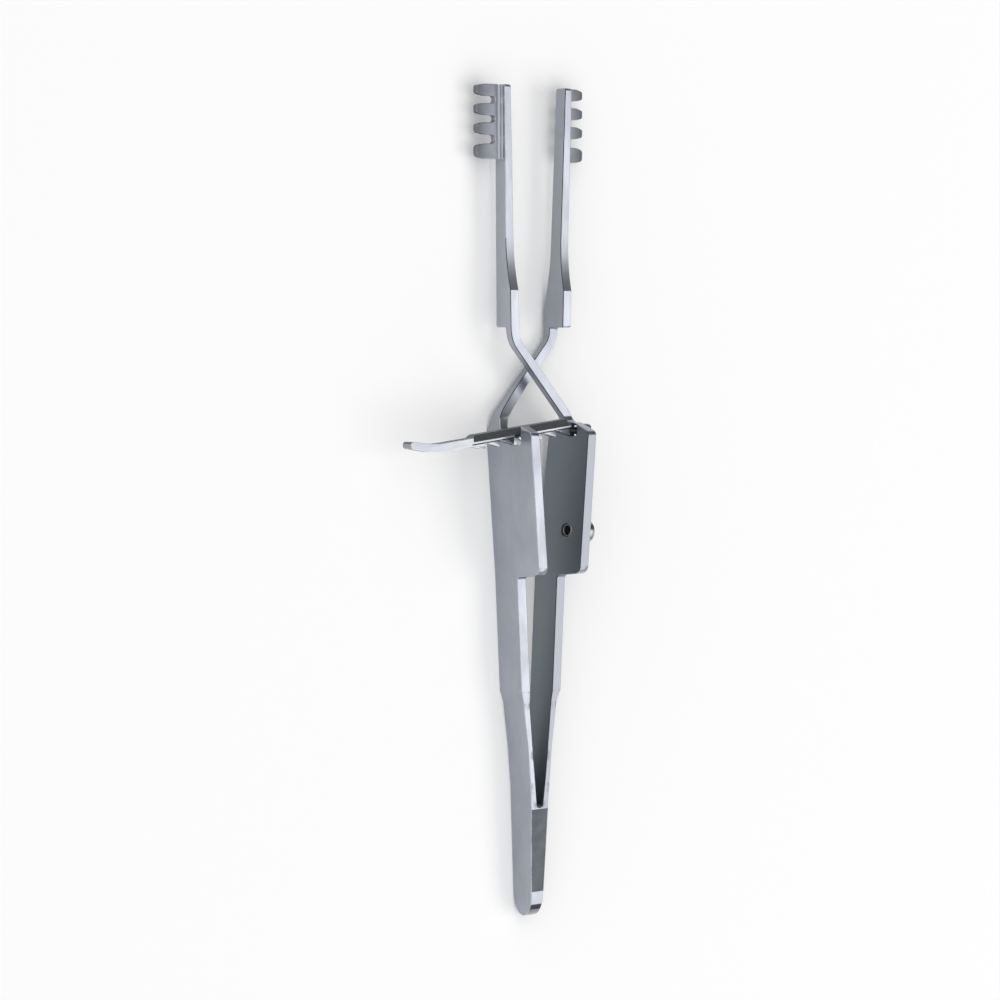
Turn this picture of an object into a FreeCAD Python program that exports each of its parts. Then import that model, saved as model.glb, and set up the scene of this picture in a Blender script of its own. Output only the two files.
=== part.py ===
import FreeCAD, Part
import math
import os

# Cross-action skin retractor that lies on its back edges. Millimetres.
# +X is the opening direction, +Y runs from the heel to the rakes, +Z is up, away from the table.
# Lengths along Y are measured from the heel's end, and the finished pieces are moved at the end
# so that the origin is on the heel's flat back, midway along the heel.

overall_length = 109.4
origin_from_end = 8.0

# Heel, where the two halves are welded together
heel_length = 14.5
heel_root_width = 4.05
heel_end_width = 3.6
heel_end_height = 3.1
heel_end_half = 0.98
heel_root_half = 1.52
root_gap_half = 0.45
root_flare = 0.05

# Thin spring legs
leg_thickness = 0.78
leg_inset = 0.12
leg_front = 4.13
leg_start = 17.0
leg_middle = 21.6
leg_end = 28.4
leg_middle_gap = 1.27
leg_end_gap = 1.9
leg_start_round = 12.0
leg_middle_round = 30.0
leg_inset_end = 18.0

# Thick blades with their wide plates
blade_thickness = 1.5
blade_width = 4.35
jog_end = 29.9
jog_round = 1.5
jog_side_round = 0.8
blade_fillet = 0.5
plate_start = 45.1
plate_start_gap = 2.8
plate_width = 8.7
plate_bottom_rise = 0.45
plate_corner = 1.1
plate_top = 65.3
plate_top_gap = 4.46
plate_slant_start = 5.9
plate_slant_drop = 1.2
plate_slant_round = 1.5
plate_top_corner = 0.7
right_back_rise = 1.1
left_top_drop = 0.8
lean_radius = 60.0

# Arms that cross behind and in front of each other
crossing_y = 71.3
crossing_angle = 43.0
arm_thickness = 1.3
plate_taper_length = 2.4
bend_radius = 3.2
rear_arm_back = 0.6
rear_arm_front = 1.7
rear_foot_front = 2.75
rear_foot_length = 5.6
rear_step_run = 1.0
rear_step_round = 2.0
front_arm_back = 3.25
foot_fillet = 0.5
front_foot_fillet = 0.9

# Upper arms, wide above the notch and slim above a curved flare
notch_y = 77.8
notch_radius = 0.3
upper_gap_start = 3.85
upper_gap_end = 4.86
upper_thick_start = 1.5
upper_thick_end = 1.12
wide_front = 4.3
wide_length = 4.8
flare_length = 6.8
slim_back_start = 1.5
slim_back_end = 1.9
slim_front_start = 3.5
slim_front_end = 3.72
left_wide_back = 1.4
right_wide_back = 0.45
wide_back_run = 2.0
wide_back_round = 3.0
slim_back_round = 20.0
arm_end_round = 0.35

# Rakes
prong_count = 4
prong_pitch = 2.5
prong_width = 1.55
last_prong_drop = 0.25
last_prong_width = 1.95
prong_thickness = 0.8
prong_tip_round = 0.28
prong_taper = 0.28
prong_taper_length = 1.3
prong_taper_round = 1.5
prong_reach = 3.5
prong_web = 0.6
prong_lean = 8.0
prong_bend = 0.5
prong_inner_bend = 0.35

# Ratchet bar, with its place along the bar measured from the pivot
pivot_y = 64.2
bar_tilt = 6.5
bar_back = 4.35
bar_front = 6.05
bar_top = 1.75
bar_bevel_height = 0.88
bar_bevel_depth = 0.55
bar_end_round = 0.3
bar_shoulder = 0.7
bar_shoulder_round = 0.6
tooth_count = 6
tooth_pitch = 2.5
tooth_first = 3.8
tooth_tip = -0.35
tooth_tip_round = 0.06
tooth_depth = 0.85
tooth_root_round = 0.08
tooth_rake = 0.12
tooth_recess = 0.35
tooth_recess_rise = 0.12
bar_end_low = 1.0
bar_end_high = 1.75
bar_end_low_round = 0.1
tongue_half_height = 0.45
tongue_back = 4.6
tongue_front = 5.35
tongue_shoulder = 0.95
teeth_end_round = 1.5
tongue_fillet = 0.3
tail_radius = 0.98
lever_thickness = 1.1
lever_tip_thickness = 0.9
lever_middle = 0.85
lever_start = 18.5
lever_straight_end = 23.2
lever_curve_radius = 15.0
lever_rise = 14.5
lever_end = 29.1

# Openings for the bar and their clearances
notch_side_gap = 0.15
notch_front_gap = 0.6
lip_clearance = 0.12
lip_bevel = 0.5
notch_corner = 0.35
slot_half_height = 0.7
slot_side_gap = 0.15
slot_front_gap = 0.4
slot_corner = 0.3

# Pivot pin, driven in from the back edge
pin_radius = 0.4
pin_seat_gap = 0.01
pin_running_gap = 0.03
pin_sink = 0.15
pin_bite = 0.8
pin_bevel = 0.08

# Leaf spring and its screw
screw_y = 51.0
leaf_middle = 5.6
leaf_width = 2.6
leaf_thickness = 0.35
leaf_tail = 2.4
leaf_lift_start = 57.5
leaf_tip_y = 65.1
leaf_tail_gap = 0.12
leaf_lift_round = 20.0
leaf_tail_round = 8.0
leaf_base_round = 1.15
leaf_tip_round = 0.6
screw_radius = 0.9
screw_hole_gap = 0.03
leaf_hole_gap = 0.12
screw_head_radius = 1.5
screw_head_height = 2.35
screw_head_dome = 0.45
screw_slot_width = 0.45
screw_slot_depth = 0.6
screw_end_recess = 0.12
screw_end_bevel = 0.15

# Room for cutting tools beyond the faces that they cut
over = 1.0

# Share of a width that rounds its end fully, less a hair so that two arcs never meet in a point
full_round = 0.49


def vec(x, y, z=0.0):
    return FreeCAD.Vector(x, y, z)


def rounded_face(corners):
    """A flat face in the XY plane from (x, y, radius) corners, each rounded by its own arc."""
    edges = []
    count = len(corners)
    starts = []
    for i in range(count):
        here = vec(corners[i][0], corners[i][1])
        before = vec(corners[i - 1][0], corners[i - 1][1])
        after = vec(corners[(i + 1) % count][0], corners[(i + 1) % count][1])
        radius = corners[i][2]
        back = (before - here).normalize()
        ahead = (after - here).normalize()
        turn = math.pi - back.getAngle(ahead)
        if radius <= 0 or turn < 0.002:
            starts.append((here, here, None))
            continue
        reach = radius * math.tan(turn / 2)
        first = here + back * reach
        last = here + ahead * reach
        inward = (back + ahead).normalize()
        middle = here + inward * (radius / math.cos(turn / 2) - radius)
        starts.append((first, last, Part.Arc(first, middle, last)))
    for i in range(count):
        first, last, arc = starts[i]
        following = starts[(i + 1) % count][0]
        if arc is not None:
            edges.append(arc.toShape())
        if last.distanceToPoint(following) > 1e-6:
            edges.append(Part.LineSegment(last, following).toShape())
    return Part.Face(Part.Wire(edges))


def front_solid(corners, low, high):
    """The outline as seen from above, in X and Y, with its walls from z low to z high."""
    face = rounded_face(corners)
    face.translate(vec(0, 0, low))
    return face.extrude(vec(0, 0, high - low))


def side_solid(corners, half_reach):
    """The outline as seen from the side, in Z and Y, with its walls along X."""
    face = rounded_face(corners)
    face.rotate(vec(0, 0, 0), vec(0, 1, 0), -90)
    face.translate(vec(half_reach, 0, 0))
    return face.extrude(vec(-2 * half_reach, 0, 0))


def mirrored(shape):
    return shape.mirror(vec(0, 0, 0), vec(1, 0, 0))


def strip_corners(stations):
    """Both sides of a bent strip, from (x, y, thickness, bend radius) stations on its middle line."""
    left = []
    right = []
    count = len(stations)
    for i in range(count):
        x, y, thickness, radius = stations[i]
        here = vec(x, y)
        before = here
        after = here
        if i > 0:
            before = vec(stations[i - 1][0], stations[i - 1][1])
        if i < count - 1:
            after = vec(stations[i + 1][0], stations[i + 1][1])
        incoming = here - before
        outgoing = after - here
        if i == 0:
            incoming = outgoing
        if i == count - 1:
            outgoing = incoming
        incoming = incoming.normalize()
        outgoing = outgoing.normalize()
        along = (incoming + outgoing).normalize()
        normal = vec(-along.y, along.x)
        half = thickness / 2 / along.dot(incoming)
        turn = incoming.x * outgoing.y - incoming.y * outgoing.x
        shift = math.copysign(thickness / 2, turn)
        left_radius = 0
        right_radius = 0
        if radius > 0:
            left_radius = radius - shift
            right_radius = radius + shift
        left.append((x + normal.x * half, y + normal.y * half, left_radius))
        right.append((x - normal.x * half, y - normal.y * half, right_radius))
    return right + left[::-1]


def gap_at(y):
    """Half of the gap between the blades, up to the top of the plates."""
    if y < leg_end:
        share = (y - leg_middle) / (leg_end - leg_middle)
        return leg_middle_gap + share * (leg_end_gap - leg_middle_gap)
    if y < plate_start:
        share = (y - leg_end) / (plate_start - leg_end)
        return leg_end_gap + share * (plate_start_gap - leg_end_gap)
    share = (y - plate_start) / (plate_top - plate_start)
    return plate_start_gap + share * (plate_top_gap - plate_start_gap)


plate_lean = math.atan((plate_top_gap - plate_start_gap) / (plate_top - plate_start))
blade_lean = math.atan((plate_start_gap - leg_end_gap) / (plate_start - leg_end))
leg_lean = math.atan((leg_end_gap - leg_middle_gap) / (leg_end - leg_middle))
plate_across = blade_thickness / math.cos(plate_lean)
pivot_x = gap_at(pivot_y) + plate_across / 2
tilt = math.radians(bar_tilt)


def heel_and_leg():
    """Right half of the heel with its thin leg."""
    leg_across = leg_thickness / math.cos(leg_lean)
    corners = [
        (0, 0, 0),
        (heel_end_half, 0, 0),
        (heel_root_half, heel_length, 0),
        (gap_at(leg_start) + leg_across, leg_start, leg_start_round),
        (gap_at(leg_middle) + leg_across, leg_middle, leg_middle_round),
        (leg_end_gap + leg_across, leg_end, 0),
        (leg_end_gap, leg_end, 0),
        (leg_middle_gap, leg_middle, leg_middle_round),
        (root_gap_half + root_flare, heel_length, root_gap_half * 2 * full_round),
        (0, heel_length, 0),
    ]
    front = front_solid(corners, 0, leg_front)
    middle_z = heel_end_width / 2
    ellipse = Part.Ellipse(
        vec(middle_z, 2 * heel_end_height), vec(0, heel_end_height), vec(middle_z, heel_end_height)
    )
    end_arc = Part.ArcOfEllipse(ellipse, math.pi / 2, 1.5 * math.pi).toShape()
    points = [
        vec(heel_end_width, heel_end_height),
        vec(heel_root_width, heel_length),
        vec(leg_front, leg_inset_end),
        vec(leg_front, leg_end),
        vec(leg_inset, leg_end),
        vec(leg_inset, leg_inset_end),
        vec(0, heel_length),
        vec(0, heel_end_height),
    ]
    edges = [end_arc]
    for first, last in zip(points, points[1:]):
        edges.append(Part.LineSegment(first, last).toShape())
    face = Part.Face(Part.Wire(Part.__sortEdges__(edges)))
    face.rotate(vec(0, 0, 0), vec(0, 1, 0), -90)
    face.translate(vec(-leg_front, 0, 0))
    side = face.extrude(vec(2 * leg_front, 0, 0))
    return front.common(side)


def arm_bends():
    """Bends of a half's middle line below and above the crossing, and its tip on the left."""
    slope = math.tan(math.radians(crossing_angle))
    plate_slope = math.tan(plate_lean)
    plate_middle = plate_top_gap + plate_across / 2
    low_y = (slope * crossing_y + plate_slope * plate_top - plate_middle) / (slope + plate_slope)
    low_x = slope * (crossing_y - low_y)
    start_x = upper_gap_start + upper_thick_start / 2
    end_x = upper_gap_end + upper_thick_end / 2
    upper_slope = (end_x - start_x) / (overall_length - notch_y)
    high_y = (start_x - upper_slope * notch_y + slope * crossing_y) / (slope - upper_slope)
    high_x = -slope * (high_y - crossing_y)
    return (low_x, low_y), (high_x, high_y), (-end_x, overall_length)


def strip_outline():
    """The right half's strip as seen from above: thick from the jog up, over to the left."""
    leg_across = leg_thickness / math.cos(leg_lean)
    blade_across = blade_thickness / math.cos(blade_lean)
    low, high, tip = arm_bends()
    taper_y = plate_top - plate_taper_length
    upper_x = -upper_gap_start - upper_thick_start / 2
    stations = [
        (plate_start_gap + plate_across / 2, plate_start, blade_thickness, 0),
        (gap_at(taper_y) + plate_across / 2, taper_y, blade_thickness, 0),
        low + (arm_thickness, bend_radius),
        high + (arm_thickness, bend_radius),
        (upper_x, notch_y, upper_thick_start, 0),
        tip + (upper_thick_end, 0),
    ]
    blade = [
        (plate_start_gap, plate_start, lean_radius),
        (leg_end_gap, leg_end, 0),
        (leg_end_gap + leg_across, leg_end, 0),
        (gap_at(jog_end) + blade_across, jog_end, jog_side_round),
        (plate_start_gap + blade_across, plate_start, lean_radius),
    ]
    return blade + strip_corners(stations)[1:-1]


def flare(before, corner, ending):
    """The corner with the widest arc that still ends at the ending, so that the edge curves out to it."""
    incoming = vec(corner[0] - before[0], corner[1] - before[1])
    outgoing = vec(ending[0] - corner[0], ending[1] - corner[1])
    reach = 2 * full_round * min(incoming.Length, outgoing.Length)
    return (corner[0], corner[1], reach / math.tan(incoming.getAngle(outgoing) / 2))


def upper_edges():
    """Upper arm in Z and Y, from its slim back edge over its tip and down to its wide front edge."""
    wide_end = notch_y + wide_length
    slim_y = wide_end + flare_length / 2
    tip = (slim_front_end, overall_length)
    slim = (slim_front_start, slim_y)
    wide = (wide_front, wide_end)
    return [
        (slim_back_start, slim_y, slim_back_round),
        (slim_back_end, overall_length, arm_end_round),
        tip + (arm_end_round,),
        flare(tip, slim, wide),
        wide + (0,),
    ]


def side_outline(back_edge, front_edge):
    """One half from the side, in Z and Y: jog, blade, plate, and the arm that stands on the plate."""
    outline = [(leg_inset, leg_end, 0), (0, jog_end, jog_round)]
    outline += back_edge
    outline += upper_edges()
    outline += front_edge
    outline += [
        (plate_slant_start, plate_top, plate_slant_round),
        (plate_width, plate_top - plate_slant_drop, plate_top_corner),
        (plate_width, plate_start + plate_bottom_rise, plate_corner),
        (blade_width, plate_start, blade_fillet),
        (blade_width, jog_end, jog_round),
        (leg_front, leg_end, 0),
    ]
    return outline


def front_crossing_outline():
    """Side outline of the right half: its arm crosses in front and is notched at its back."""
    back_edge = [
        (0, plate_start, lean_radius),
        (right_back_rise, plate_top, plate_corner),
        (front_arm_back, plate_top, foot_fillet),
        (front_arm_back, notch_y, notch_radius),
        (left_wide_back, notch_y, notch_radius),
    ]
    front_edge = [(wide_front, plate_top, front_foot_fillet)]
    return side_outline(back_edge, front_edge)


def rear_crossing_outline():
    """Side outline of the left half: its arm crosses behind and is notched in front."""
    back_edge = [
        (0, plate_top - rear_step_run, rear_step_round),
        (rear_arm_back, plate_top, rear_step_round),
        (rear_arm_back, notch_y, 0),
        (right_wide_back, notch_y + wide_back_run, wide_back_round),
    ]
    notch_foot = (rear_arm_front, notch_y)
    foot = (rear_arm_front, plate_top + rear_foot_length / 2)
    low_top = plate_top - left_top_drop
    plate = (rear_foot_front, low_top)
    front_edge = [
        (wide_front, notch_y, notch_radius),
        notch_foot + (notch_radius,),
        flare(notch_foot, foot, plate),
        plate + (0,),
        (bar_back, low_top, 0),
        (bar_back, plate_top, 0),
    ]
    return side_outline(back_edge, front_edge)


def rake():
    """Four blunt prongs of the right half's arm, bent out to the left from its back edge."""
    arm_outer = upper_gap_end + upper_thick_end
    arm_middle = upper_gap_end + upper_thick_end / 2
    tip_x = arm_outer + prong_reach
    taper_x = tip_x - prong_taper_length
    root_x = arm_outer + prong_web
    lowest = overall_length - (prong_count - 1) * prong_pitch - last_prong_drop - last_prong_width
    front_z = slim_back_end + prong_thickness
    tip_drop = (prong_reach + upper_thick_end / 2) * math.tan(math.radians(prong_lean))
    corners = [
        (-arm_middle, slim_back_end, 0),
        (-arm_middle, front_z + prong_bend, 0),
        (-arm_outer, front_z + prong_bend, 0),
        (-arm_outer, front_z, prong_inner_bend),
        (-tip_x, front_z - tip_drop, prong_tip_round),
        (-tip_x, slim_back_end - tip_drop, prong_tip_round),
    ]
    section = rounded_face(corners)
    section.rotate(vec(0, 0, 0), vec(1, 0, 0), 90)
    section.translate(vec(0, overall_length, 0))
    flange = section.extrude(vec(0, lowest - overall_length, 0))
    comb = [(-arm_middle + over, overall_length, 0)]
    prongs = [(overall_length - i * prong_pitch, prong_width) for i in range(prong_count - 1)]
    prongs.append((lowest + last_prong_width, last_prong_width))
    for (top, width), following in zip(prongs, prongs[1:] + [None]):
        end_round = (width - 2 * prong_taper) * full_round
        comb.append((-taper_x, top, prong_taper_round))
        comb.append((-tip_x, top - prong_taper, end_round))
        comb.append((-tip_x, top - width + prong_taper, end_round))
        comb.append((-taper_x, top - width, prong_taper_round))
        if following:
            gap_round = (top - width - following[0]) * full_round
            comb.append((-root_x, top - width, gap_round))
            comb.append((-root_x, following[0], gap_round))
    comb.append((-arm_middle + over, lowest, 0))
    return flange.common(front_solid(comb, -prong_reach, plate_width))


def half(outline):
    """One half above its thin leg: blade, plate, arm and rake in one piece."""
    strip = front_solid(strip_outline(), -over, plate_width + over)
    return strip.common(side_solid(outline, overall_length)).fuse(rake()).removeSplitter()


def bar_place(shape):
    """Moves a shape drawn about the pivot, with the bar along -X, to its place."""
    shape.rotate(vec(0, 0, 0), vec(0, 0, 1), bar_tilt)
    shape.translate(vec(pivot_x, pivot_y, 0))
    return shape


def lip_point():
    """Outer top edge of the left plate's lip, just under the line of the tooth tips."""
    up = tooth_tip - lip_clearance
    lean = math.tan(plate_lean)
    sine = math.sin(tilt)
    cosine = math.cos(tilt)
    outer_start = plate_start_gap + plate_across
    reach = pivot_x - up * sine + outer_start + lean * (pivot_y + up * cosine - plate_start)
    along = reach / (cosine + lean * sine)
    return pivot_x - along * cosine - up * sine, pivot_y - along * sine + up * cosine


def bar_notch():
    """Cutter for the open notch in the left plate, with a lip bevelled to fit between teeth."""
    outer_x, lip_y = lip_point()
    slope = lip_bevel / plate_across
    inner_x = outer_x + plate_across
    low = bar_back - notch_side_gap
    high = bar_front + notch_front_gap
    corners = [
        (outer_x - over, lip_y + slope * over, 0),
        (inner_x + over, lip_y - lip_bevel - slope * over, 0),
        (inner_x + over, plate_top + over, 0),
        (outer_x - over, plate_top + over, 0),
    ]
    cutter = front_solid(corners, low, high)
    floor_edges = []
    for edge in cutter.Edges:
        box = edge.BoundBox
        if box.XLength > over and box.YMax < plate_top:
            floor_edges.append(edge)
    return cutter.makeFillet(notch_corner, floor_edges)


def bar_slot():
    """Cutter for the slot in the right plate that holds the bar's tongue."""
    low = tongue_back - slot_side_gap
    high = bar_front + slot_front_gap
    corners = [
        (low, pivot_y - slot_half_height, slot_corner),
        (high, pivot_y - slot_half_height, slot_corner),
        (high, pivot_y + slot_half_height, slot_corner),
        (low, pivot_y + slot_half_height, slot_corner),
    ]
    cutter = side_solid(corners, plate_across + over)
    cutter.translate(vec(pivot_x, 0, 0))
    return cutter


def pin_shape(radius, low, high):
    return Part.makeCylinder(radius, high - low, vec(pivot_x, pivot_y, low))


def pin_end():
    return bar_front + slot_front_gap + pin_bite


def pivot_pin():
    """Plain pin of the bar, with a small bevel at both ends."""
    pin = pin_shape(pin_radius, pin_sink, pin_end())
    rims = [edge for edge in pin.Edges if edge.Closed]
    return pin.makeChamfer(pin_bevel, rims)


def lever_sides():
    """Upper and lower side of the curved thumb lever, from the bar out to the tip and back."""
    lever_turn = math.radians(lever_rise)
    bend_along = lever_straight_end + lever_curve_radius * math.tan(lever_turn / 2)
    tip_up = lever_middle + (lever_end - bend_along) * math.tan(lever_turn)
    stations = [
        (-lever_start, lever_middle, lever_thickness, 0),
        (-bend_along, lever_middle, lever_thickness, lever_curve_radius),
        (-lever_end, tip_up, lever_tip_thickness, 0),
    ]
    sides = strip_corners(stations)
    tip_round = lever_tip_thickness * full_round
    upper = [sides[0], sides[1], (sides[2][0], sides[2][1], tip_round)]
    lower = [(sides[3][0], sides[3][1], tip_round), sides[4]]
    return upper, lower


def bar_block(start, end, low, high, back, front):
    """A box in the bar's own frame, to cut the bar with."""
    return Part.makeBox(end - start, high - low, front - back, vec(start, low, back))


def ratchet_bar():
    """Toothed bar with its tongue in the right plate and its curved thumb lever at the left."""
    root = tooth_tip + tooth_depth
    upper, lower = lever_sides()
    corners = [
        (tail_radius, -tongue_half_height, 2 * tongue_half_height * full_round),
        (tail_radius, tongue_half_height, 2 * tongue_half_height * full_round),
        (-bar_end_low, tongue_half_height, bar_end_low_round),
        (-bar_end_high, bar_top, bar_end_round),
        (-lever_start + bar_shoulder, bar_top, bar_shoulder_round),
        (upper[0][0], upper[0][1], bar_shoulder_round),
    ]
    corners += upper[1:]
    corners += lower
    teeth_end = -tooth_first - tooth_count * tooth_pitch
    corners.append((teeth_end, lever_middle - lever_thickness / 2, teeth_end_round))
    for i in reversed(range(tooth_count)):
        tip = tooth_first + i * tooth_pitch
        corners.append((-tip, tooth_tip, tooth_tip_round))
        corners.append((-tip + tooth_rake, root, tooth_root_round))
    corners.append((-tooth_first + tooth_pitch, -tongue_half_height, tongue_fillet))
    bar = front_solid(corners, bar_back, bar_front)
    bevel_low = bar_top - bar_bevel_height
    slope = bar_bevel_depth / bar_bevel_height
    wedge = [
        (bar_front + slope * over, bevel_low - over, 0),
        (bar_front - slope * (bar_bevel_height + over), bar_top + over, 0),
        (bar_front + over, bar_top + over, 0),
        (bar_front + over, bevel_low - over, 0),
    ]
    bevel = side_solid(wedge, lever_start / 2)
    bevel.translate(vec(-lever_start / 2, 0, 0))
    tongue_start = -tongue_shoulder
    below = -tongue_half_height - over
    above = tongue_half_height + over
    tail_end = tail_radius + over
    rear_relief = bar_block(tongue_start, tail_end, below, above, bar_back - over, tongue_back)
    front_relief = bar_block(tongue_start, tail_end, below, above, tongue_front, bar_front + over)
    tooth_back = bar_front - tooth_recess
    recess_top = root + tooth_recess_rise
    recess = bar_block(teeth_end, tongue_start, tooth_tip - over, recess_top, tooth_back, bar_front + over)
    bore = Part.makeCylinder(pin_radius + pin_running_gap, plate_width)
    return bar_place(bar.cut([bevel, rear_relief, front_relief, recess, bore]))


def on_plate(y, off):
    """A point at a height off the right plate's outer face."""
    x = gap_at(y) + plate_across + off * math.cos(plate_lean)
    return x, y - off * math.sin(plate_lean)


def across_plate(shape):
    """Turns a shape drawn along +X so that it stands on the outer face at the screw."""
    x, y = on_plate(screw_y, 0)
    shape.rotate(vec(0, 0, 0), vec(0, 0, 1), -math.degrees(plate_lean))
    shape.translate(vec(x, y, leaf_middle))
    return shape


def screw_hole(gap):
    length = 2 * blade_thickness + 2 * over
    start = vec(-length / 2, 0, 0)
    return across_plate(Part.makeCylinder(screw_radius + gap, length, start, vec(1, 0, 0)))


def leaf_spring():
    """Leaf that lies on the right plate and ends over the bar's tail."""
    half = leaf_thickness / 2
    tail_off = tail_radius - blade_thickness / 2 + leaf_tail_gap + half
    stations = [
        on_plate(screw_y - leaf_tail - over, half) + (leaf_thickness, 0),
        on_plate(leaf_lift_start, half) + (leaf_thickness, leaf_lift_round),
        on_plate(pivot_y - tail_radius, tail_off) + (leaf_thickness, leaf_tail_round),
        on_plate(leaf_tip_y + over, tail_off) + (leaf_thickness, 0),
    ]
    low = leaf_middle - leaf_width / 2
    high = leaf_middle + leaf_width / 2
    base_y = screw_y - leaf_tail
    outline = [
        (low, base_y, leaf_base_round),
        (high, base_y, leaf_base_round),
        (high, leaf_tip_y, leaf_tip_round),
        (low, leaf_tip_y, leaf_tip_round),
    ]
    strip = front_solid(strip_corners(stations), low - over, high + over)
    leaf = strip.common(side_solid(outline, overall_length))
    return leaf.cut(screw_hole(leaf_hole_gap))


def leaf_screw():
    """Slotted screw with a domed head, turned about its own axis."""
    seat = leaf_thickness
    rim = seat + screw_head_height - screw_head_dome
    end = -blade_thickness + screw_end_recess
    bevel = screw_end_bevel
    outline = [
        vec(end, 0),
        vec(end, screw_radius - bevel),
        vec(end + bevel, screw_radius),
        vec(seat, screw_radius),
        vec(seat, screw_head_radius),
        vec(rim, screw_head_radius),
    ]
    edges = []
    for first, last in zip(outline, outline[1:]):
        edges.append(Part.LineSegment(first, last).toShape())
    top = vec(rim + screw_head_dome, 0)
    share = screw_head_radius / 2
    rise = screw_head_dome * (1 - (share / screw_head_radius) ** 2)
    edges.append(Part.Arc(outline[-1], vec(rim + rise, share), top).toShape())
    edges.append(Part.LineSegment(top, outline[0]).toShape())
    screw = Part.Face(Part.Wire(edges)).revolve(vec(0, 0, 0), vec(1, 0, 0), 360)
    slot = Part.makeBox(
        screw_slot_depth + over,
        2 * screw_head_radius + 2 * over,
        screw_slot_width,
        vec(rim + screw_head_dome - screw_slot_depth, -screw_head_radius - over, -screw_slot_width / 2),
    )
    return across_plate(screw.cut(slot))


def right_blade():
    bore = pin_shape(pin_radius + pin_seat_gap, -over, pin_end())
    return half(front_crossing_outline()).cut([bar_slot(), bore, screw_hole(screw_hole_gap)])


def left_blade():
    return mirrored(half(rear_crossing_outline())).cut(bar_notch())


pieces = {
    "left_spring_leg": mirrored(heel_and_leg()),
    "right_spring_leg": heel_and_leg(),
    "left_blade": left_blade(),
    "right_blade": right_blade(),
    "ratchet_bar": ratchet_bar(),
    "pivot_pin": pivot_pin(),
    "leaf_spring": leaf_spring(),
    "leaf_screw": leaf_screw(),
}

os.makedirs("parts", exist_ok=True)
for name, shape in pieces.items():
    shape.translate(vec(0, -origin_from_end, 0))
    shape.exportStep("parts/" + name + ".step")
    print(name, shape.isValid(), len(shape.Solids), round(shape.Volume, 3))
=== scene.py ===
import bmesh
import bpy
import math
from mathutils import Matrix, Vector
from mathutils.bvhtree import BVHTree
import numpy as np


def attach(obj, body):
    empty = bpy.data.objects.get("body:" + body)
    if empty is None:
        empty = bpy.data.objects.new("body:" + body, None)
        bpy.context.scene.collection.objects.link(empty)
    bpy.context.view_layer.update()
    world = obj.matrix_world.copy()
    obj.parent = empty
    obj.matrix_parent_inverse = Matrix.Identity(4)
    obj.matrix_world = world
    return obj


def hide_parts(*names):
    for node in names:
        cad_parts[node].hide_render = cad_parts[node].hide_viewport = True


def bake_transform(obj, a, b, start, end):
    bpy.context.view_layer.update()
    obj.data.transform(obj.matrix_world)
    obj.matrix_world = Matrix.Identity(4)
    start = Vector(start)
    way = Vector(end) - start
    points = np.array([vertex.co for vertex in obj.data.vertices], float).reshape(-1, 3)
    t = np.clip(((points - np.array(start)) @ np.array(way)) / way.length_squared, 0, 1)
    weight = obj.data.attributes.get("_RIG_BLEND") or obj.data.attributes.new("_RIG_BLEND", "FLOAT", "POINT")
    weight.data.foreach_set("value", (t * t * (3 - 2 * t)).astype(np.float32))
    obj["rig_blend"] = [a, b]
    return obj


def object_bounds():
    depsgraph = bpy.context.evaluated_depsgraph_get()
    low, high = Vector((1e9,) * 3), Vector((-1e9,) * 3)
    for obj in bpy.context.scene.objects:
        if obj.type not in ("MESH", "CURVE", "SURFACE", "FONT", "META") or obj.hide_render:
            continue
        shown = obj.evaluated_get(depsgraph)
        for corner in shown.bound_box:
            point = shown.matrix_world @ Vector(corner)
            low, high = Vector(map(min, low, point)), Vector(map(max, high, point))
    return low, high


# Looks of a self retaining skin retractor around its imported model.
# Metres, in the model's own frame: +X opens the blades, +Y runs to the rakes, +Z is up.

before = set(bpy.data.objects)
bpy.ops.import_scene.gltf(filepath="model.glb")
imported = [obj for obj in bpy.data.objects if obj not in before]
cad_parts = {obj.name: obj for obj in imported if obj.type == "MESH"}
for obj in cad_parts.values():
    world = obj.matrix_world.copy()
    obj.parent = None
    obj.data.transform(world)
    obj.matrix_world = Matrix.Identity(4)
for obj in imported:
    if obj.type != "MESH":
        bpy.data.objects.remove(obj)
cad_low, cad_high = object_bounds()
MM = 0.001

# Camera of the photograph
TO_CAMERA = Vector((-0.6685, 0.0401, 0.7424))
AIM = Vector((-1.894, 47.0, -1.705)) * MM
CAMERA_DISTANCE = 477.0 * MM
CAMERA_LENS = 129.7

# Studio
FLOOR_HALF = 1.5
FLOOR_GAP = 0.01 * MM
FLOOR_COLOUR = (0.96, 0.96, 0.96)
LAMP_DISTANCE = 3.0
LEFT_ROOM_LIGHT = 1.15
RIGHT_ROOM_LIGHT = 0.5
DARK_CARD_LIGHT = 0.1
CARD_EDGE_START = 0.05
CARD_EDGE_END = 0.3

# Broken edges of the pieces
STRIP_EDGE = 0.08 * MM
BAR_EDGE = 0.05 * MM
SCREW_EDGE = 0.05 * MM
LEAF_EDGE = 0.05 * MM
PIN_EDGE = 0.03 * MM
SHARP_ANGLE = math.radians(28)
FLAT_ANGLE = math.radians(0.5)
WELD_DISTANCE = 0.001 * MM

# Where the spring legs bend
BEND_START = Vector((0.0, 7.5, 2.1)) * MM
BEND_END = Vector((0.0, 20.4, 2.1)) * MM
BEND_STEP = 0.7 * MM

# The heel's front face, from its rounded end to the root of the legs, painted dark as painted reflection, and
# the band at its end, painted near black as painted reflection
HEEL_FRONT_START = -4.7 * MM
HEEL_FRONT_END = 6.3 * MM
BAND_START = -7.1 * MM
BAND_END = -6.42 * MM

# Middle line of a leg, as (distance along, distance out) pairs, and how far its outer side fills out
LEG_LINE = [(6.5, 1.0), (9.0, 1.25), (13.6, 1.66), (20.4, 2.29), (22.0, 2.38)]
LEG_OUTER_FILL = 0.25
FILL_START, FILL_FULL, FILL_END = 14.0, 20.4, 21.9
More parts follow.
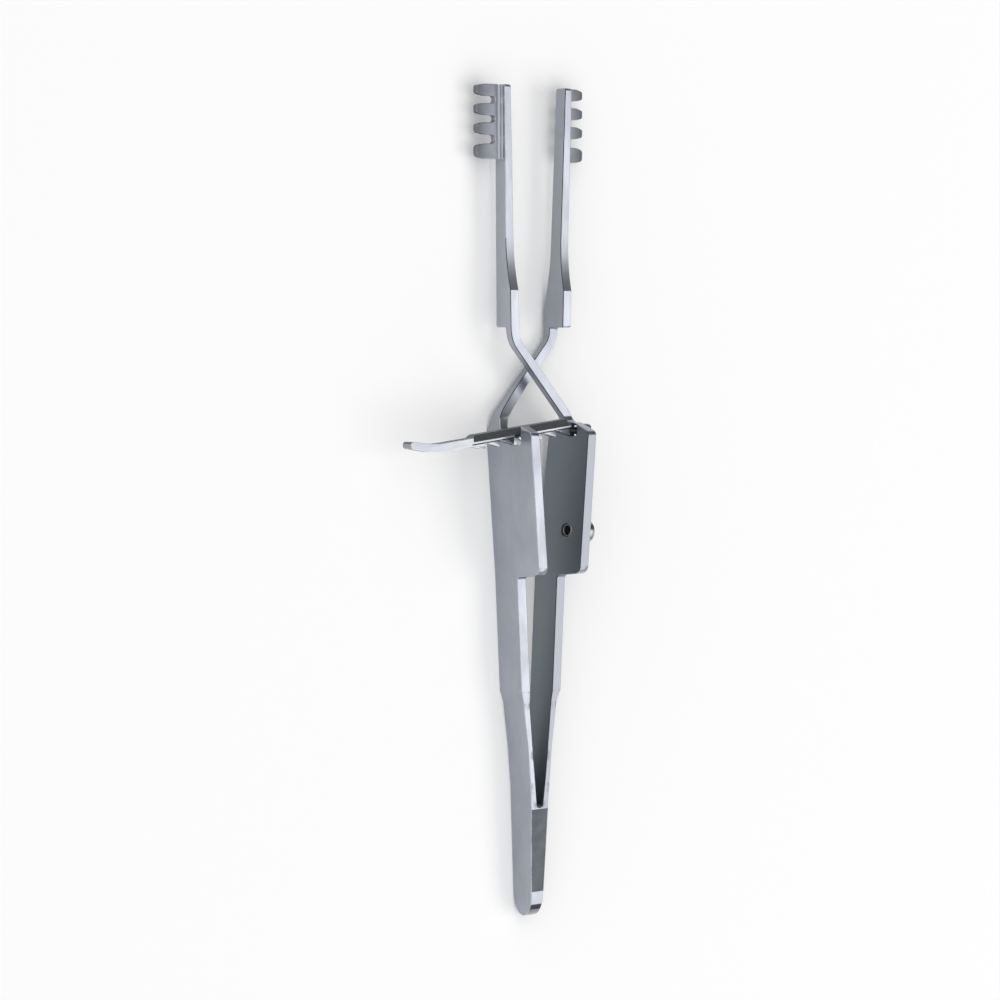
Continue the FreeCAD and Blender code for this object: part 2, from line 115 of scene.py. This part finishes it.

# Openings that are sawn for the bar, in the left and in the right plate; their walls are painted dark, as
# painted shade
NOTCH_LOW, NOTCH_HIGH = Vector((-6.9, 56.0, 4.1)) * MM, Vector((-3.8, 58.2, 6.75)) * MM
SLOT_LOW, SLOT_HIGH = Vector((4.2, 55.3, 4.4)) * MM, Vector((6.2, 57.1, 6.5)) * MM

# The prongs are painted darker toward the tips, as painted shade, measured out from the middle
TIP_START = 6.9 * MM
TIP_END = 9.2 * MM

# Top of the plates, and where the left arm's dark line, painted shade, fades out
PLATE_END = 58.0 * MM
LINE_FADE = 80.0 * MM
LINE_END = 90.0 * MM

# The bar's pivot, and the painted shadow line in the inner corner above its teeth, measured across the bar
BAR_PIVOT = Vector((5.122, 56.2, 0.0)) * MM
BAR_TILT = math.radians(6.5)
CORNER_LINE_LOW = 0.42 * MM
CORNER_LINE_FRONT = 5.7 * MM

# The screw's recessed end in the plate
SCREW_END_RIM = 0.1 * MM
SCREW_END_DEPTH = 0.7 * MM


def group_of(name, inputs, outputs):
    """An empty shader group with its sockets; returns the group, its input node and its output node."""
    tree = bpy.data.node_groups.new(name, "ShaderNodeTree")
    for label, kind, value in inputs:
        socket = tree.interface.new_socket(label, in_out="INPUT", socket_type=kind)
        socket.default_value = value
    for label, kind in outputs:
        tree.interface.new_socket(label, in_out="OUTPUT", socket_type=kind)
    return tree, tree.nodes.new("NodeGroupInput"), tree.nodes.new("NodeGroupOutput")


def stretched_noise(tree, place, stretch, size, detail):
    """Noise that is stretched along the axes."""
    mapping = tree.nodes.new("ShaderNodeMapping")
    mapping.inputs["Scale"].default_value = stretch
    noise = tree.nodes.new("ShaderNodeTexNoise")
    noise.inputs["Scale"].default_value = size
    noise.inputs["Detail"].default_value = detail
    noise.inputs["Roughness"].default_value = 0.6
    tree.links.new(place, mapping.inputs["Vector"])
    tree.links.new(mapping.outputs["Vector"], noise.inputs["Vector"])
    return noise.outputs["Fac"]


def ranged(tree, value, low, high, to_low, to_high):
    node = tree.nodes.new("ShaderNodeMapRange")
    node.inputs["From Min"].default_value = low
    node.inputs["From Max"].default_value = high
    node.inputs["To Min"].default_value = to_low
    node.inputs["To Max"].default_value = to_high
    tree.links.new(value, node.inputs["Value"])
    return node.outputs["Result"]


def put(tree, value, socket):
    """Sets a socket to a plain value, or links it."""
    if isinstance(value, (int, float, tuple)):
        socket.default_value = value
    else:
        tree.links.new(value, socket)


def worked_out(tree, operation, first, second):
    node = tree.nodes.new("ShaderNodeMath")
    node.operation = operation
    put(tree, first, node.inputs[0])
    put(tree, second, node.inputs[1])
    return node.outputs[0]


def mixed_colour(tree, share, first, second):
    node = tree.nodes.new("ShaderNodeMix")
    node.data_type = "RGBA"
    put(tree, share, node.inputs[0])
    put(tree, first, node.inputs[6])
    put(tree, second, node.inputs[7])
    return node.outputs[2]


def mixed_value(tree, share, first, second):
    node = tree.nodes.new("ShaderNodeMix")
    put(tree, share, node.inputs[0])
    put(tree, first, node.inputs[2])
    put(tree, second, node.inputs[3])
    return node.outputs[0]


def satin_brushing_group():
    """Long fine grain under cloudy handling marks."""
    tree, source, sink = group_of(
        "satin_brushing",
        [
            ("Vector", "NodeSocketVector", (0, 0, 0)),
            ("Steel", "NodeSocketColor", (0.4, 0.4, 0.4, 1)),
            ("Dull Steel", "NodeSocketColor", (0.3, 0.3, 0.3, 1)),
            ("Smoothest", "NodeSocketFloat", 0.3),
            ("Roughest", "NodeSocketFloat", 0.45),
        ],
        [("Color", "NodeSocketColor"), ("Roughness", "NodeSocketFloat"), ("Height", "NodeSocketFloat")],
    )
    place = source.outputs["Vector"]
    grain = ranged(tree, stretched_noise(tree, place, (1.0, 0.045, 1.0), 9000.0, 4.0), 0.3, 0.7, 0.0, 1.0)
    marks = ranged(tree, stretched_noise(tree, place, (1.0, 0.35, 1.0), 320.0, 3.0), 0.35, 0.68, 0.0, 1.0)
    share = mixed_value(tree, 0.65, grain, marks)
    colour = mixed_colour(tree, share, source.outputs["Dull Steel"], source.outputs["Steel"])
    rough = mixed_value(tree, share, source.outputs["Roughest"], source.outputs["Smoothest"])
    tree.links.new(colour, sink.inputs["Color"])
    tree.links.new(rough, sink.inputs["Roughness"])
    tree.links.new(grain, sink.inputs["Height"])
    return tree


def edge_wear_group():
    """Uneven bright polish where handling has worn the broken edges."""
    tree, source, sink = group_of(
        "edge_wear",
        [
            ("Vector", "NodeSocketVector", (0, 0, 0)),
            ("Edge", "NodeSocketFloat", 0.0),
            ("Color", "NodeSocketColor", (0.4, 0.4, 0.4, 1)),
            ("Worn Steel", "NodeSocketColor", (0.6, 0.6, 0.6, 1)),
            ("Roughness", "NodeSocketFloat", 0.35),
            ("Worn Roughness", "NodeSocketFloat", 0.2),
        ],
        [("Color", "NodeSocketColor"), ("Roughness", "NodeSocketFloat")],
    )
    noise = stretched_noise(tree, source.outputs["Vector"], (1.0, 1.0, 1.0), 900.0, 3.0)
    worn = worked_out(tree, "MULTIPLY", source.outputs["Edge"], ranged(tree, noise, 0.35, 0.6, 0.3, 1.0))
    colour = mixed_colour(tree, worn, source.outputs["Color"], source.outputs["Worn Steel"])
    rough = mixed_value(tree, worn, source.outputs["Roughness"], source.outputs["Worn Roughness"])
    tree.links.new(colour, sink.inputs["Color"])
    tree.links.new(rough, sink.inputs["Roughness"])
    return tree


SATIN_BRUSHING = satin_brushing_group()
EDGE_WEAR = edge_wear_group()


def attribute(tree, name):
    node = tree.nodes.new("ShaderNodeAttribute")
    node.attribute_name = name
    return node.outputs["Fac"]


def steel(name, colour, darker, worn, smoothest, roughest, grain_turn=0.0, patches=()):
    """One steel finish; a patch is (attribute, colour, roughness) of a part coloured otherwise, mostly painted
    shade or painted reflection.
    """
    material = bpy.data.materials.new(name)
    material.use_nodes = True
    tree = material.node_tree
    shader = tree.nodes["Principled BSDF"]
    shader.inputs["Metallic"].default_value = 1.0
    place = tree.nodes.new("ShaderNodeTexCoord").outputs["Object"]
    mapping = tree.nodes.new("ShaderNodeMapping")
    mapping.inputs["Rotation"].default_value = (0, 0, grain_turn)
    tree.links.new(place, mapping.inputs["Vector"])
    brushing = tree.nodes.new("ShaderNodeGroup")
    brushing.node_tree = SATIN_BRUSHING
    brushing.inputs["Steel"].default_value = (*colour, 1)
    brushing.inputs["Dull Steel"].default_value = (*darker, 1)
    brushing.inputs["Smoothest"].default_value = smoothest
    brushing.inputs["Roughest"].default_value = roughest
    tree.links.new(mapping.outputs["Vector"], brushing.inputs["Vector"])
    body = brushing.outputs["Color"]
    rough = brushing.outputs["Roughness"]
    if patches:
        cloudy = ranged(tree, stretched_noise(tree, place, (1.0, 1.0, 1.0), 700.0, 4.0), 0.3, 0.7, 0.88, 1.0)
    for mark, patch_colour, patch_rough in patches:
        mask = attribute(tree, mark)
        share = worked_out(tree, "MULTIPLY", mask, cloudy)
        body = mixed_colour(tree, share, body, (*patch_colour, 1))
        rough = mixed_value(tree, mask, rough, patch_rough)
    wear = tree.nodes.new("ShaderNodeGroup")
    wear.node_tree = EDGE_WEAR
    wear.inputs["Worn Steel"].default_value = (*worn, 1)
    wear.inputs["Worn Roughness"].default_value = smoothest
    tree.links.new(place, wear.inputs["Vector"])
    tree.links.new(attribute(tree, "broken_edge"), wear.inputs["Edge"])
    tree.links.new(body, wear.inputs["Color"])
    tree.links.new(rough, wear.inputs["Roughness"])
    bump = tree.nodes.new("ShaderNodeBump")
    bump.inputs["Strength"].default_value = 0.25
    bump.inputs["Distance"].default_value = 0.01 * MM
    tree.links.new(brushing.outputs["Height"], bump.inputs["Height"])
    tree.links.new(wear.outputs["Color"], shader.inputs["Base Color"])
    tree.links.new(wear.outputs["Roughness"], shader.inputs["Roughness"])
    tree.links.new(bump.outputs["Normal"], shader.inputs["Normal"])
    return material


STEELS = {
    "satin_steel": steel(
        "satin_steel", (0.415, 0.437, 0.485), (0.33, 0.349, 0.388), (0.5, 0.52, 0.56), 0.27, 0.36,
        patches=[
            # painted reflection: the heel's front face, dark
            ("heel_front_painted_reflection", (0.072, 0.08, 0.086), 0.4),
            # painted shade: the prongs darker toward the tips
            ("tip_painted_shade", (0.15, 0.163, 0.18), 0.45),
            # painted shade: the walls of the bar's openings, dark
            ("opening_painted_shade", (0.07, 0.078, 0.082), 0.5),
            # the right half's front edges on the plates, painted darker
            ("right_edge_darker", (0.31, 0.325, 0.357), 0.36),
            # painted shade: the inner faces between the blades, darker
            ("inner_painted_shade", (0.28, 0.315, 0.34), 0.38),
            # painted shade: dark lines on the rounded edges beside the front faces
            ("painted_shade_line", (0.05, 0.055, 0.06), 0.5),
            # painted reflection: the dark band at the heel's end
            ("heel_end_painted_reflection", (0.04, 0.045, 0.05), 0.5),
        ],
    ),
    "bar_steel": steel(
        "bar_steel", (0.4, 0.41, 0.44), (0.31, 0.32, 0.35), (0.55, 0.56, 0.6), 0.22, 0.32,
        grain_turn=math.radians(83),
        patches=[
            # painted reflection: the bar's upper side, dark
            ("bar_top_painted_reflection", (0.15, 0.16, 0.165), 0.5),
            # painted shadow: a dark line in the inner corner above the teeth
            ("corner_painted_shadow", (0.06, 0.066, 0.07), 0.6),
        ],
    ),
    # The pin's steel is painted darker, as painted shade in its slot.
    "pin_steel": steel("pin_steel", (0.2, 0.21, 0.22), (0.14, 0.15, 0.16), (0.3, 0.31, 0.33), 0.25, 0.4),
    "leaf_steel": steel("leaf_steel", (0.38, 0.39, 0.42), (0.3, 0.31, 0.34), (0.5, 0.51, 0.54), 0.22, 0.32),
    "screw_steel": steel(
        "screw_steel", (0.4, 0.41, 0.43), (0.3, 0.31, 0.33), (0.52, 0.53, 0.56), 0.2, 0.32,
        # painted shade: the screw's recessed end, near black
        patches=[("screw_end_painted_shade", (0.015, 0.017, 0.018), 0.6)],
    ),
}


def copy_of(node):
    """A merged copy of a CAD node's mesh, ready to shape."""
    shape = bmesh.new()
    shape.from_mesh(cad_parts[node].data)
    bmesh.ops.remove_doubles(shape, verts=shape.verts, dist=WELD_DISTANCE)
    bmesh.ops.dissolve_limit(
        shape, angle_limit=FLAT_ANGLE, use_dissolve_boundaries=False, verts=shape.verts, edges=shape.edges
    )
    return shape


def is_weld(edge):
    """Whether an edge lies where the heel's halves are welded, or where a leg runs on into its blade."""
    in_heel = all(abs(vert.co.x) < WELD_DISTANCE for vert in edge.verts)
    at_blade = all(abs(vert.co.y - BEND_END.y) < WELD_DISTANCE for vert in edge.verts)
    return in_heel or at_blade


def break_edges(shape, width):
    """Rounds every sharp edge, marks the rounded faces, and sets any stray corner back on the surface."""
    mark = shape.faces.layers.float.new("broken_edge")
    surface = BVHTree.FromBMesh(shape)
    low = [min(vert.co[i] for vert in shape.verts) for i in range(3)]
    high = [max(vert.co[i] for vert in shape.verts) for i in range(3)]
    sharp = [
        edge
        for edge in shape.edges
        if edge.is_manifold and edge.calc_face_angle(0) > SHARP_ANGLE and not is_weld(edge)
    ]
    made = bmesh.ops.bevel(
        shape,
        geom=sharp,
        offset=width,
        offset_type="OFFSET",
        segments=2,
        profile=0.5,
        affect="EDGES",
        clamp_overlap=False,
        material=-1,
    )
    for face in made["faces"]:
        face[mark] = 1.0
    for vert in shape.verts:
        place, _, _, off = surface.find_nearest(vert.co)
        if off > width / 2:
            vert.co = place
        vert.co = [min(max(vert.co[i], low[i]), high[i]) for i in range(3)]


def finished(shape, name, slot):
    """The object of a shape, with smooth curves and true flats."""
    mesh = bpy.data.meshes.new(name)
    for face in shape.faces:
        face.smooth = True
    shape.to_mesh(mesh)
    shape.free()
    mesh.materials.clear()
    mesh.materials.append(STEELS[slot])
    mesh.set_sharp_from_angle(angle=SHARP_ANGLE)
    piece = bpy.data.objects.new(name, mesh)
    bpy.context.scene.collection.objects.link(piece)
    flats = piece.modifiers.new("true_flats", "WEIGHTED_NORMAL")
    flats.keep_sharp = True
    return piece


def ridden(piece, body, node):
    """Fixes a piece to its body in the place of its CAD node."""
    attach(piece, body)
    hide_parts(node)


def dress(node, name, body, slot, width):
    """A CAD node's copy with broken edges."""
    shape = copy_of(node)
    break_edges(shape, width)
    ridden(finished(shape, name, slot), body, node)


def eased(value, start, end):
    share = min(max((value - start) / (end - start), 0.0), 1.0)
    return share * share * (3 - 2 * share)


def leg_middle_at(y):
    for (low, low_out), (high, high_out) in zip(LEG_LINE, LEG_LINE[1:]):
        if y <= high:
            return low_out + (y - low) / (high - low) * (high_out - low_out)
    return LEG_LINE[-1][1]


def fill_out_leg(shape):
    """Fills out a leg's outer side toward its blade, and the blade's foot to match, to ease the step there."""
    for vert in shape.verts:
        y = vert.co.y / MM
        out = abs(vert.co.x) / MM
        if y > LEG_LINE[-1][0] or not leg_middle_at(y) < out <= 2 * leg_middle_at(y):
            continue
        fill = LEG_OUTER_FILL * eased(y, FILL_START, FILL_FULL) * (1 - eased(y, FILL_FULL, FILL_END))
        vert.co.x += math.copysign(fill * MM, vert.co.x)


def mark_painted_tones(shape):
    """Marks the inner faces, painted darker as painted shade between the blades, the right half's front edges
    on the plates, painted darker, and the dark lines beside the edges, painted shade.
    """
    names = ("broken_edge", "inner_painted_shade", "right_edge_darker", "painted_shade_line")
    for name in names[1:]:
        shape.faces.layers.float.new(name)
    broken, inner, darker, line = [shape.faces.layers.float[name] for name in names]
    for face in shape.faces:
        middle = face.calc_center_median()
        on_plate = HEEL_FRONT_END < middle.y < PLATE_END
        # Inner faces are painted darker, as painted shade between the blades.
        if face.normal.x * math.copysign(1, middle.x) < -0.9:
            face[inner] = 1.0 if on_plate else 0.4
        # The right half's front edges on the plates are painted darker.
        if face.normal.z > 0.9 and middle.x > 0 and on_plate:
            face[darker] = 1.0
        # The rounded edges beside the front faces get a dark line, as painted shade, in place of their worn
        # polish.
        beside = middle.y > HEEL_FRONT_END and (middle.x > 0 or PLATE_END < middle.y)
        if face[broken] > 0.5 and beside and face.normal.x < -0.25 and face.normal.z > 0.25:
            face[line] = 1.0 if middle.x > 0 else 1 - eased(middle.y, LINE_FADE, LINE_END)
            face[broken] = 1 - face[line]
        # Toward the prong tips the bright worn edges are cut to a fifth, with the painted shade there.
        if abs(middle.x) > TIP_START:
            face[broken] *= 0.2


def dress_blade(node, name, opening_low, opening_high):
    """A blade with its arm and rake: prong tips painted darker and walls painted dark where the bar goes
    through, both as painted shade.
    """
    shape = copy_of(node)
    fill_out_leg(shape)
    break_edges(shape, STRIP_EDGE)
    # The prongs are painted darker toward the tips, as painted shade.
    tip_shade = shape.verts.layers.float.new("tip_painted_shade")
    for vert in shape.verts:
        vert[tip_shade] = eased(abs(vert.co.x), TIP_START, TIP_END)
    # The walls of the bar's openings are painted dark, as painted shade.
    opening_shade = shape.faces.layers.float.new("opening_painted_shade")
    for face in shape.faces:
        middle = face.calc_center_median()
        inside = all(opening_low[i] < middle[i] < opening_high[i] for i in range(3))
        if inside and abs(face.normal.x) < 0.6:
            face[opening_shade] = 1.0
    mark_painted_tones(shape)
    ridden(finished(shape, name, "satin_steel"), node, node)


def dress_bar():
    """The toothed bar, with its upper side painted dark as painted reflection, and a painted shadow line in the
    corner above its teeth.
    """
    shape = copy_of("ratchet_bar")
    break_edges(shape, BAR_EDGE)
    up = Vector((-math.sin(BAR_TILT), math.cos(BAR_TILT), 0))
    everything = shape.verts[:] + shape.edges[:] + shape.faces[:]
    bmesh.ops.bisect_plane(
        shape, geom=everything, dist=1e-8, plane_co=BAR_PIVOT + up * CORNER_LINE_LOW, plane_no=up
    )
    back = shape.faces.layers.float.new("bar_top_painted_reflection")
    line = shape.faces.layers.float.new("corner_painted_shadow")
    for face in shape.faces:
        middle = face.calc_center_median()
        # The bar's upper side is painted dark, as painted reflection.
        if face.normal.y > 0.35:
            face[back] = 1.0
        # A strip of the recess under the step is painted dark, as painted shadow in the corner.
        at_front = abs(middle.z - CORNER_LINE_FRONT) < 0.05 * MM and face.normal.z > 0.9
        if at_front and (middle - BAR_PIVOT).dot(up) > CORNER_LINE_LOW:
            face[line] = 1.0
    ridden(finished(shape, "toothed_bar", "bar_steel"), "ratchet_bar", "ratchet_bar")


def dress_screw():
    """The slotted screw, with its end set back in the plate's hole and painted near black, as painted shade in
    the hole.
    """
    shape = copy_of("leaf_screw")
    mark = shape.faces.layers.float.new("screw_end_painted_shade")
    facing_in = [face for face in shape.faces if face.normal.x < -0.9]
    inner = min(facing_in, key=lambda face: face.calc_center_median().x)
    rim = bmesh.ops.inset_individual(shape, faces=[inner], thickness=SCREW_END_RIM, depth=0)["faces"]
    pressed = bmesh.ops.inset_individual(
        shape, faces=[inner], thickness=SCREW_END_RIM, depth=-SCREW_END_DEPTH
    )["faces"]
    # The rim and the recessed end are painted near black, as painted shade in the hole.
    for face in rim + pressed + [inner]:
        face[mark] = 1.0
    break_edges(shape, SCREW_EDGE)
    ridden(finished(shape, "slotted_screw", "screw_steel"), "right_blade", "leaf_screw")


def dress_leg(node, name, blade):
    """A heel half with its spring leg, sliced where it bends so that it follows the blade smoothly."""
    shape = copy_of(node)
    break_edges(shape, STRIP_EDGE)
    cuts = int((BEND_END.y - BEND_START.y) / BEND_STEP) + 1
    places = [BAND_START, BAND_END, HEEL_FRONT_START, HEEL_FRONT_END]
    places += [BEND_START.y + i * BEND_STEP for i in range(cuts + 1)]
    for y in places:
        everything = shape.verts[:] + shape.edges[:] + shape.faces[:]
        bmesh.ops.bisect_plane(shape, geom=everything, dist=1e-8, plane_co=(0, y, 0), plane_no=(0, 1, 0))
    fill_out_leg(shape)
    shape.faces.layers.float.new("heel_front_painted_reflection")
    band = shape.faces.layers.float.new("heel_end_painted_reflection")
    heel_reflection = shape.faces.layers.float["heel_front_painted_reflection"]
    # The heel's front face and the band at its end are painted dark, as painted reflection.
    for face in shape.faces:
        middle = face.calc_center_median()
        if face.normal.z > 0.9 and HEEL_FRONT_START < middle.y < HEEL_FRONT_END:
            face[heel_reflection] = 1.0
        if face.normal.z > 0.2 and BAND_START < middle.y < BAND_END:
            face[band] = 1.0
    mark_painted_tones(shape)
    piece = finished(shape, name, "satin_steel")
    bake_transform(piece, "heel", blade, start=BEND_START, end=BEND_END)
    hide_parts(node)


def turned_to(back):
    """A frame that looks against a direction, with its top toward the rakes."""
    right = Vector((0, 1, 0)).cross(back).normalized()
    return Matrix((right, back.cross(right), back)).transposed().to_4x4()


def add_camera():
    data = bpy.data.cameras.new("camera")
    data.lens = CAMERA_LENS
    data.sensor_width = 36
    data.clip_start = 0.01
    data.clip_end = 10
    camera = bpy.data.objects.new("camera", data)
    bpy.context.scene.collection.objects.link(camera)
    back = TO_CAMERA.normalized()
    camera.matrix_world = Matrix.Translation(AIM + back * CAMERA_DISTANCE) @ turned_to(back)
    bpy.context.scene.camera = camera


def add_room():
    """Even light from the left, greyer from the right, and a dark card beyond the rakes on the right."""
    world = bpy.data.worlds.new("studio")
    bpy.context.scene.world = world
    world.use_nodes = True
    tree = world.node_tree
    parts = tree.nodes.new("ShaderNodeSeparateXYZ")
    tree.links.new(tree.nodes.new("ShaderNodeTexCoord").outputs["Generated"], parts.inputs["Vector"])
    right = ranged(tree, parts.outputs["X"], 0.0, 0.4, 0.0, 1.0)
    card = ranged(tree, parts.outputs["Y"], CARD_EDGE_START, CARD_EDGE_END, 0.0, 1.0)
    right_light = mixed_value(tree, card, RIGHT_ROOM_LIGHT, DARK_CARD_LIGHT)
    light = mixed_value(tree, right, LEFT_ROOM_LIGHT, right_light)
    tree.links.new(light, tree.nodes["Background"].inputs["Strength"])
    tree.nodes["Background"].inputs["Color"].default_value = (1, 1, 1, 1)


def add_floor():
    """A plain pale floor just under the instrument."""
    shape = bmesh.new()
    bmesh.ops.create_grid(shape, x_segments=1, y_segments=1, size=FLOOR_HALF)
    bmesh.ops.translate(shape, verts=shape.verts, vec=(0, 0, cad_low.z - FLOOR_GAP))
    mesh = bpy.data.meshes.new("floor")
    shape.to_mesh(mesh)
    shape.free()
    floor = bpy.data.objects.new("floor", mesh)
    bpy.context.scene.collection.objects.link(floor)
    paint = bpy.data.materials.new("floor_paint")
    paint.use_nodes = True
    shader = paint.node_tree.nodes["Principled BSDF"]
    shader.inputs["Base Color"].default_value = (*FLOOR_COLOUR, 1)
    shader.inputs["Roughness"].default_value = 0.9
    shader.inputs["Specular IOR Level"].default_value = 0.1
    mesh.materials.append(paint)


def add_softbox(name, toward, size, brightness):
    """A large lamp in a direction from the instrument, with the brightness that its face shows."""
    data = bpy.data.lights.new(name, "AREA")
    data.shape = "RECTANGLE"
    data.size, data.size_y = size
    data.energy = brightness * 4 * size[0] * size[1]
    lamp = bpy.data.objects.new(name, data)
    bpy.context.scene.collection.objects.link(lamp)
    back = toward.normalized()
    middle = (cad_low + cad_high) / 2
    lamp.matrix_world = Matrix.Translation(middle + back * LAMP_DISTANCE) @ turned_to(back)


add_camera()
add_room()
add_floor()
add_softbox("right_softbox", Vector((0.66, -0.082, 0.746)), (1.45, 1.36), 1.6)
add_softbox("low_right_softbox", Vector((0.585, -0.514, 0.628)), (1.3, 1.44), 1.5)

dress_blade("left_blade", "left_blade_strip", NOTCH_LOW, NOTCH_HIGH)
dress_blade("right_blade", "right_blade_strip", SLOT_LOW, SLOT_HIGH)
dress_bar()
dress("leaf_spring", "bar_leaf", "right_blade", "leaf_steel", LEAF_EDGE)
dress("pivot_pin", "bar_pin", "right_blade", "pin_steel", PIN_EDGE)
dress_screw()
dress_leg("left_spring_leg", "left_leg", "left_blade")
dress_leg("right_spring_leg", "right_leg", "right_blade")

bpy.context.scene.view_settings.view_transform = "Standard"
